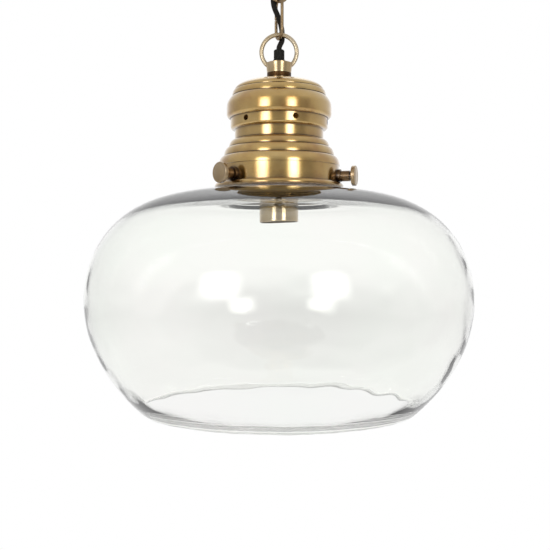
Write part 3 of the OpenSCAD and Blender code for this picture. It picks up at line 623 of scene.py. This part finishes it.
crownHeight = cap["crownTop"] - cap["crownFoot"]
crownStart = math.degrees(math.acos(cap["boss"] / cap["crown"]))
outline = [(cap["hole"], cap["top"]), (cap["boss"] - cap["edge"][0], cap["top"]),
           (cap["boss"], cap["top"] - cap["edge"][1])]
outline += bow(0, cap["crownFoot"], cap["crown"], crownHeight, crownStart, 0, 48)
outline += bow(cap["crown"], cap["stepFoot"], cap["step"] - cap["crown"],
               cap["crownFoot"] - cap["stepFoot"], 90, 0, 20)[1:]
outline += smoothLine(cap["shoulder"], 8)[1:]
outline += bow(cap["rollInner"], cap["rimFoot"], cap["rim"] - cap["rollInner"],
               cap["rollHeight"], 0, -90, 24)
corners = [(cap["crown"], cap["crownFoot"]), (cap["step"], cap["stepFoot"])]
loop = scored(outline, corners) + inset(outline, cap["sheet"])[::-1]
capPiece = meshPiece("spun_cap", lathe(loop), spunBrass, "fitting")
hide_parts("domed_cap")
print("cap made")


# Seat washer, rounded, down to the top of the cap, near black as a painted shadow of the groove
# under the collar
seat = {"radius": 12.1, "hole": 5.2, "top": -210.5, "round": 0.5}

edge = seat["round"]
loop = [(seat["hole"], cap["top"])]
loop += bow(seat["radius"] - edge, cap["top"] + edge, edge, edge, -90, 0, 6)
loop += bow(seat["radius"] - edge, seat["top"] - edge, edge, edge, 0, 90, 6)
loop += [(seat["hole"], seat["top"])]
seatPiece = meshPiece("turned_seat_washer", lathe(loop), washerShadeBrass, "fitting")
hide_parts("seat_washer")
print("seat washer made")


# Gallery body, spun, with vents, three flares and a rolled bead
gallery = {
    "sheet": 1, "hole": 5.2, "top": -251.5, "band": 48.5, "corner": 1.5, "bandFoot": -267.7,
    "neck": 44.3, "roll": 3.1, "neckFoot": -277.5,
    "flares": [(50.3, -285.4), (55.1, -294.3), (60.5, -303.9)],
    "wall": 60, "wallEdge": 0.3, "beadTop": -320.3, "bead": 4.4, "foot": -327.5,
    "vent": 5.7, "ventHeight": -260.45, "vents": 6, "ventTurn": -71, "ventDrill": 8,
    "screwHole": 5.4, "screwHeight": -314.9, "screws": 3, "screwTurn": -16, "screwDrill": 5,
}


# Holes drilled inward at equal turns round the Z axis
def holesRound(count, turn, radius, height, diameter, length):
    made = []
    for k in range(count):
        a = math.radians(turn + 360 * k / count)
        out = Vector((math.cos(a), math.sin(a), 0))
        made.append((out * radius + Vector((0, 0, height)), out, diameter, length))
    return made


corner = gallery["corner"]
bodyLine = [(gallery["hole"], gallery["top"])]
bodyLine += bow(gallery["band"] - corner, gallery["top"] - corner, corner, corner, 90, 0, 8)
bodyLine += bow(gallery["neck"], gallery["bandFoot"] + gallery["roll"],
                gallery["band"] - gallery["neck"], gallery["roll"], 0, -90, 16)
fromR, fromZ = gallery["neck"], gallery["neckFoot"]
for i, (toR, toZ) in enumerate(gallery["flares"]):
    flare = bow(fromR, toZ, toR - fromR, fromZ - toZ, 90, 0, 26)
    bodyLine += flare if i == 0 else flare[1:]
    fromR, fromZ = toR, toZ
bodyLine += [(gallery["wall"], fromZ - gallery["wallEdge"]),
             (gallery["wall"], gallery["beadTop"])]
beadHalf = (gallery["beadTop"] - gallery["foot"]) / 2
beadLine = bow(gallery["wall"], gallery["foot"] + beadHalf, gallery["bead"], beadHalf,
               90, -90, 36)[1:]
corners = [(gallery["neck"], gallery["neckFoot"]), *gallery["flares"][:2]]
loop = (scored(bodyLine, corners) + beadLine
        + [(gallery["wall"] - gallery["sheet"], gallery["foot"])]
        + inset(bodyLine, gallery["sheet"])[::-1])
holes = holesRound(gallery["vents"], gallery["ventTurn"], gallery["band"],
                   gallery["ventHeight"], gallery["vent"], gallery["ventDrill"])
holes += holesRound(gallery["screws"], gallery["screwTurn"],
                    gallery["wall"] - gallery["sheet"] / 2, gallery["screwHeight"],
                    gallery["screwHole"], gallery["screwDrill"])
galleryPiece = meshPiece("spun_gallery", drilled(lathe(loop), holes), spunBrass, "fitting")
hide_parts("gallery_body")
print("gallery made")


# Thumbscrews in the gallery's screw holes, turned round their own lines. "start", "bushEnd" and
# "head" are distances from the light's axis
thumb = {
    "start": 54.96, "dog": 1.5, "dogLength": 2, "slope": 0.1, "thread": 2.5, "threadEdge": 0.4,
    "bushEnd": 72, "neck": 4, "neckEdge": 0.3, "head": 74.2, "headRadius": 9.9,
    "headThickness": 4, "edge": 0.7, "groove": (1.3, 2.3), "grooveSide": 0.2,
    "grooveDepth": 0.12, "faceDepth": 0.02, "segments": 96,
}

t = thumb
for k in range(gallery["screws"]):
    inner, edge = t["head"], t["edge"]
    outer, wide = inner + t["headThickness"], t["headRadius"]
    dogEnd, shoulder = t["start"] + t["dogLength"], t["bushEnd"] + t["slope"]
    line = [(0, t["start"]), (t["dog"], t["start"]), (t["dog"], dogEnd),
            (t["thread"] - t["threadEdge"], dogEnd + t["slope"]),
            (t["thread"], dogEnd + t["slope"] + t["threadEdge"]), (t["thread"], t["bushEnd"]),
            (t["thread"], shoulder), (t["neck"] - t["neckEdge"], shoulder),
            (t["neck"], shoulder + t["neckEdge"]), (t["neck"], inner)]
    line += bow(wide - edge, inner + edge, edge, edge, -90, 0, 8)
    line += bow(wide - edge, outer - edge, edge, edge, 0, 90, 8)
    grooveOut, grooveIn = wide - t["groove"][0], wide - t["groove"][1]
    line += [(grooveOut, outer), (grooveOut - t["grooveSide"], outer - t["grooveDepth"]),
             (grooveIn + t["grooveSide"], outer - t["grooveDepth"]),
             (grooveIn, outer - t["faceDepth"]), (0, outer - t["faceDepth"])]
    turn = math.radians(gallery["screwTurn"] + 360 * k / gallery["screws"])
    along = Vector((math.cos(turn), math.sin(turn), 0))
    stand = Matrix.Translation((0, 0, gallery["screwHeight"] * mm)) @ (
        along.to_track_quat("Z", "Y").to_matrix().to_4x4())
    mesh = lathe(line, t["segments"], stand, closed=False)
    piece = meshPiece("knob_screw_%d" % (k + 1), mesh, screwBrass, "screw_%d" % (k + 1))
    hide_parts("thumbscrew_%d" % (k + 1))
print("thumbscrews made")


# Blown glass shade: the outline and wall of part.scad on a finer mesh. The rim is a round edge
# in steps, and "groundRings" are those with the ground finish
shade = {
    "radius": 190.75, "waist": -434.4, "upper": 107.4, "lower": 164.5, "below": 110.5,
    "wall": 3.2, "shoulderWall": 9, "power": 12, "rimWall": 5.4, "neckWaist": 53.5, "lip": 57,
    "bore": 49.5, "lipFoot": -312.2, "lipTop": -305.2, "shoulder": -327.8, "round": 5.4,
    "boreRound": 5, "lipRound": 2, "lipSide": 2.5, "boreEdge": 1.5,
    "upperPower": (1.93, 3.78), "lowerPower": (2, 1.75), "upperSteps": 96, "lowerSteps": 84,
    "thickFrom": 3, "thickReach": 7, "rimRise": 1, "rimSteps": 16, "groundRings": (1, 12),
}

# Hand-blown waviness below the shoulder, the two faces apart, and an uneven rim
blown = {
    "segments": 320, "wave": 26, "flatten": 1.3, "depth": 0.16, "from": -345, "fade": 60,
    "insideShift": 40, "edgeWave": 17, "edgeLift": 0.55, "edgeReach": 9,
}


def shadeRadius(z):
    t = z - shade["waist"]
    height = shade["upper"] if t > 0 else shade["lower"]
    p, q = shade["upperPower"] if t > 0 else shade["lowerPower"]
    return shade["radius"] * (1 - (abs(t) / height) ** p) ** (1 / q)


# The wall grows toward the shoulder and toward the rim
def shadeWall(z):
    t, wall = z - shade["waist"], shade["wall"]
    if t > 0:
        return wall + (shade["shoulderWall"] - wall) * (t / shade["upper"]) ** shade["power"]
    thickZ = shade["waist"] - shade["below"] + shade["thickFrom"]
    return wall + (shade["rimWall"] - wall) * math.exp((thickZ - z) / shade["thickReach"])


topTurn = math.asin((shade["shoulder"] - shade["waist"]) / shade["upper"])
heights = [shade["waist"] + shade["upper"] * math.sin(topTurn * (1 - i / shade["upperSteps"]))
           for i in range(shade["upperSteps"] + 1)]
heights += [shade["waist"] - (shade["below"] - shade["rimRise"]) * i / shade["lowerSteps"]
            for i in range(1, shade["lowerSteps"] + 1)]
outside = [(shadeRadius(z), z) for z in heights]
inside = inset(outside, [shadeWall(z) for z in heights])
rimOut, rimIn = Vector(outside[-1]), Vector(inside[-1])
middle, across = (rimOut + rimIn) / 2, (rimOut - rimIn) / 2
rim = []
for i in range(1, shade["rimSteps"]):
    a = -math.pi * i / shade["rimSteps"]
    rim.append((middle.x + across.x * math.cos(a) - across.y * math.sin(a),
                middle.y + across.x * math.sin(a) + across.y * math.cos(a)))
lipRound = shade["lipRound"]
neck = [(shade["bore"] + shade["boreEdge"], shade["lipTop"])]
neck += bow(shade["lip"] - lipRound, shade["lipTop"] - lipRound, lipRound, lipRound, 90, 0, 12)
neck += [(shade["lip"], shade["lipFoot"] + shade["lipSide"]),
         (shade["neckWaist"], shade["lipFoot"])]
neck += bow(shade["neckWaist"] + shade["round"], shade["shoulder"] + shade["round"],
            shade["round"], shade["round"], 180, 270, 20)
bore = bow(shade["bore"] + shade["boreRound"], inside[0][1] + shade["boreRound"],
           shade["boreRound"], shade["boreRound"], 270, 180, 16)
loop = neck + outside + rim + inside[::-1] + bore
loop += [(shade["bore"], shade["lipTop"] - shade["boreEdge"])]
shadeMesh = lathe(loop, blown["segments"])
insideStart = len(neck) + len(outside) + len(rim) // 2
normals = [vert.normal.copy() for vert in shadeMesh.vertices]
for vert, normal in zip(shadeMesh.vertices, normals):
    x, y, z = vert.co / mm
    free = min(max((blown["from"] - z) / blown["fade"], 0), 1)
    if not free:
        continue
    side = blown["insideShift"] if vert.index // blown["segments"] >= insideStart else 0
    swell = perlin(Vector((x, y, z * blown["flatten"])) / blown["wave"] + Vector((side, 0, 0)))
    edge = math.exp((shade["waist"] - shade["below"] - z) / blown["edgeReach"])
    lift = perlin(Vector((x, y, 0)) / blown["edgeWave"])
    raised = Vector((0, 0, lift * edge * blown["edgeLift"]))
    vert.co += (normal * free * swell * blown["depth"] + raised) * mm
shadePiece = meshPiece("blown_shade", shadeMesh, clearGlass, "fitting")
shadeMesh.materials.append(groundGlass)
groundStart, groundEnd = [len(neck) + len(outside) + k for k in shade["groundRings"]]
for polygon in shadeMesh.polygons:
    if groundStart <= polygon.index // blown["segments"] < groundEnd:
        polygon.material_index = 1
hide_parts("glass_shade")
print("shade made")


# Lampholder shell with a rounded mouth
holder = {
    "radius": 19.5, "wall": 1, "top": -301.7, "mouth": -357.2, "dome": 12, "flat": 13,
    "hole": 5.1, "mouthSide": 1.4, "mouthInside": 1, "mouthRound": (0.55, 0.85), "segments": 144,
}

dome = [(holder["hole"], holder["top"])]
dome += bow(holder["flat"], holder["top"] - holder["dome"],
            holder["radius"] - holder["flat"], holder["dome"], 90, 0, 24)
wide, high = holder["mouthRound"]
outline = dome + [(holder["radius"], holder["mouth"] + holder["mouthSide"])]
outline += bow(holder["radius"] - wide, holder["mouth"] + high, wide, high, 0, -90, 8)
bore = holder["radius"] - holder["wall"]
inner = inset(dome, holder["wall"])
inner += [(bore, holder["mouth"] + holder["mouthInside"]), (bore, holder["mouth"])]
holderMesh = lathe(outline + inner[::-1], holder["segments"])
holderPiece = meshPiece("spun_holder", holderMesh, holderBrass, "fitting")
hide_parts("lampholder_shell")
print("lampholder made")


# Ceiling canopy, spun, with holes for the hook and the cord grip
canopy = {"radius": 52, "crown": 28, "wall": 5, "foot": -30, "sheet": 1,
          "hookHole": 6.4, "entryHole": 9, "entry": 17, "drill": 6}

width = canopy["radius"] - canopy["crown"]
height = canopy["foot"] + canopy["wall"]
loop = [(canopy["radius"], 0)]
loop += bow(canopy["crown"], -canopy["wall"], width, height, 0, 90, 40)
loop += [(0, canopy["foot"]), (0, canopy["foot"] + canopy["sheet"])]
loop += bow(canopy["crown"], -canopy["wall"], width - canopy["sheet"],
            height + canopy["sheet"], 90, 0, 40)
loop += [(canopy["radius"] - canopy["sheet"], 0)]
holes = [((0, -y, canopy["foot"]), (0, 0, 1), diameter, canopy["drill"])
         for y, diameter in ((0, canopy["hookHole"]), (canopy["entry"], canopy["entryHole"]))]
canopyPiece = meshPiece("spun_canopy", drilled(lathe(loop), holes), spunBrass, "ceiling")
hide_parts("canopy")
print("canopy made")


# Materials of the CAD nodes that stay
kept = [
    (collarBrass, "loop_collar", "canopy_nut"),
    (wireBrass, "ceiling_hook"),
    (darkBrass, "spacer_tube", "hollow_stem", "screw_bushes",
     "lampholder_locknut", "lampholder_nut"),
    (contactBrass, "screw_shell", "centre_contact", "live_terminal", "neutral_terminal"),
    (zincSteel, "ceiling_plate", "plate_nut", "terminal_screws", "gallery_washer",
     "gallery_nut", "lampholder_bridge", "bridge_screws"),
    (blackNylon, "canopy_cord_grip", "canopy_grip_nut", "cord_grip"),
    (braid, "stem_flex"),
    (softPad, "screw_pad_1", "screw_pad_2", "screw_pad_3"),
    (porcelain, "porcelain_insert", "terminal_block"),
    (brownCore, "canopy_live_core", "holder_live_core"),
    (blueCore, "canopy_neutral_core", "holder_neutral_core"),
    (greenCore, "canopy_earth_core", "holder_earth_core"),
]

for material, *names in kept:
    for name in names:
        mesh = nodes[name].data
        mesh.materials.clear()
        mesh.materials.append(material)
print("kept nodes finished")


# Studio: a pale floor, two upright soft boxes behind the camera, and a plain room. A box is its
# bearing, distance, height, width, length and power. "around" is the room's level by bearing, and
# "above", "below" and "table" its level overhead, under the horizon and at the floor
studio = {
    "floor": -1.6, "half": 1.8, "floorColor": (0.82, 0.82, 0.81), "floorWhite": 0.75,
    "boxes": [(-31, 1.5, -0.02, 0.8, 0.86, 15.5), (27, 1.5, -0.02, 0.74, 0.86, 15.5)],
    "softEdge": 0.42, "plain": 0.72, "above": 0.75, "through": 0.78,
    "around": [(-180, 1.0), (-155, 1.0), (-132, 0.66), (-105, 0.52), (-85, 0.62), (-55, 0.6),
               (-12, 0.4), (0, 0.36), (8, 0.38), (52, 0.38), (62, 0.36), (78, 0.62), (115, 0.68),
               (140, 0.8), (155, 1.0), (180, 1.0)],
    "below": 0.93, "table": 0.92, "aboveFrom": (0.2, 0.6), "belowFrom": (-0.07, -0.02),
    "tableFrom": (-0.4, -0.15),
    "hairLight": 0.75, "hairPlace": (0, -1.0, -2.1), "hairReach": (2.3, 1.3, 3.3),
    "dip": 0.13, "dipPlace": (-0.15, 0, 0.96), "dipReach": (5, 0, 12),
}

build = bmesh.new()
bmesh.ops.create_grid(build, x_segments=8, y_segments=8, size=studio["half"])
floorMesh = bpy.data.meshes.new("floor")
build.to_mesh(floorMesh)
build.free()
floorMesh.transform(Matrix.Translation((0, 0, studio["floor"])))
floorObject = bpy.data.objects.new("floor", floorMesh)
scene.collection.objects.link(floorObject)
floorMaterial = plainMaterial("pale_floor", studio["floorColor"], studio["floorColor"],
                              (0.85, 0.9), 3, 0.02)
floorMesh.materials.append(floorMaterial)

# Camera, glossy and transmission rays see the floor whiter, with part of the shadow left
tree = floorMaterial.node_tree
rays = tree.nodes.new("ShaderNodeLightPath")
looking = rays.outputs["Is Camera Ray"]
for kind in ("Is Glossy Ray", "Is Transmission Ray"):
    looking = maths(tree, "MAXIMUM", looking, rays.outputs[kind])
blend = tree.nodes.new("ShaderNodeMixShader")
feed(tree, blend.inputs[0], maths(tree, "MULTIPLY", looking, studio["floorWhite"]))
feed(tree, blend.inputs[1], tree.nodes["Principled BSDF"].outputs[0])
feed(tree, blend.inputs[2], tree.nodes.new("ShaderNodeEmission").outputs[0])
feed(tree, tree.nodes["Material Output"].inputs["Surface"], blend.outputs[0])


# A lamp's light falls off softly toward its edges
def softEdged(data, edge):
    data.use_nodes = True
    tree = data.node_tree
    emission = tree.nodes["Emission"]
    across = tree.nodes.new("ShaderNodeSeparateXYZ")
    tree.links.new(tree.nodes.new("ShaderNodeNewGeometry").outputs["Parametric"],
                   across.inputs[0])
    falls = []
    for axis in (0, 1):
        for start, end in ((0, edge), (1, 1 - edge)):
            fall = tree.nodes.new("ShaderNodeMapRange")
            fall.interpolation_type = "SMOOTHSTEP"
            fall.inputs["From Min"].default_value = start
            fall.inputs["From Max"].default_value = end
            tree.links.new(across.outputs[axis], fall.inputs["Value"])
            falls.append(fall.outputs["Result"])
    strength = falls[0]
    for fall in falls[1:]:
        strength = maths(tree, "MULTIPLY", strength, fall)
    tree.links.new(strength, emission.inputs["Strength"])


for i, (turn, away, high, wide, tall, power) in enumerate(studio["boxes"]):
    a = math.radians(turn)
    toward = Vector((math.sin(a), -math.cos(a), 0))
    data = bpy.data.lights.new("soft_box_%d" % i, "AREA")
    data.shape, data.size, data.size_y = "RECTANGLE", wide, tall
    data.energy = power
    softEdged(data, studio["softEdge"])
    lamp = bpy.data.objects.new("soft_box_%d" % i, data)
    lamp.location = toward * away + Vector((0, 0, high))
    lamp.rotation_euler = toward.to_track_quat("Z", "Y").to_euler()
    lamp.visible_camera = False
    scene.collection.objects.link(lamp)

world = bpy.data.worlds.new("room")
scene.world = world
world.use_nodes = True
tree = world.node_tree
tree.nodes.clear()
output = tree.nodes.new("ShaderNodeOutputWorld")
back = tree.nodes.new("ShaderNodeBackground")
back.inputs["Color"].default_value = (1, 1, 1, 1)
tree.links.new(back.outputs[0], output.inputs[0])
around = tree.nodes.new("ShaderNodeTexCoord").outputs["Generated"]
split = tree.nodes.new("ShaderNodeSeparateXYZ")
tree.links.new(around, split.inputs[0])
x, y, z = split.outputs

# The room's level by bearing, 0 being the camera's side, then overhead and under the horizon
bearing = maths(tree, "ARCTAN2", x, maths(tree, "MULTIPLY", y, -1))
room = ramp(tree, ranged(tree, bearing, 0.0, 1.0, -math.pi, math.pi),
            [(0.5 + at / 360, (v, v, v, 1)) for at, v in studio["around"]])
overhead = ranged(tree, z, 0.0, 1.0, *studio["aboveFrom"])
under = ranged(tree, z, studio["below"], 1.0, *studio["belowFrom"])


# A round soft patch of the room, from one level at its edge to another in its middle
def patch(location, scale, edge, middle, full):
    spot = tree.nodes.new("ShaderNodeMapping")
    spot.inputs["Location"].default_value = location
    spot.inputs["Scale"].default_value = scale
    tree.links.new(around, spot.inputs[0])
    ball = tree.nodes.new("ShaderNodeTexGradient")
    ball.gradient_type = "SPHERICAL"
    tree.links.new(spot.outputs[0], ball.inputs[0])
    return ranged(tree, ball.outputs["Fac"], edge, middle, 0, full)


dip = patch(studio["dipPlace"], studio["dipReach"], 1.0, 1 - studio["dip"], 0.8)
hair = patch(studio["hairPlace"], studio["hairReach"], 0.0, studio["hairLight"], 0.7)
seen = maths(tree, "MULTIPLY", between(tree, overhead, room, studio["above"]), under)
seen = maths(tree, "ADD", maths(tree, "MULTIPLY", seen, dip), hair)
low = ranged(tree, z, 1.0, 0.0, *studio["tableFrom"])
seen = between(tree, low, seen, studio["table"])

# Rays straight through the glass see a pale room, diffuse rays a plain one, the camera white
rays = tree.nodes.new("ShaderNodeLightPath")
bounced = maths(tree, "MINIMUM", rays.outputs["Glossy Depth"], 1)
straight = between(tree, bounced, rays.outputs["Is Transmission Ray"], 0)
seen = between(tree, straight, seen, maths(tree, "MAXIMUM", seen, studio["through"]))
seen = between(tree, rays.outputs["Is Diffuse Ray"], seen, studio["plain"])
seen = between(tree, rays.outputs["Is Camera Ray"], seen, 1.0)
tree.links.new(seen, back.inputs["Strength"])
print("studio made")
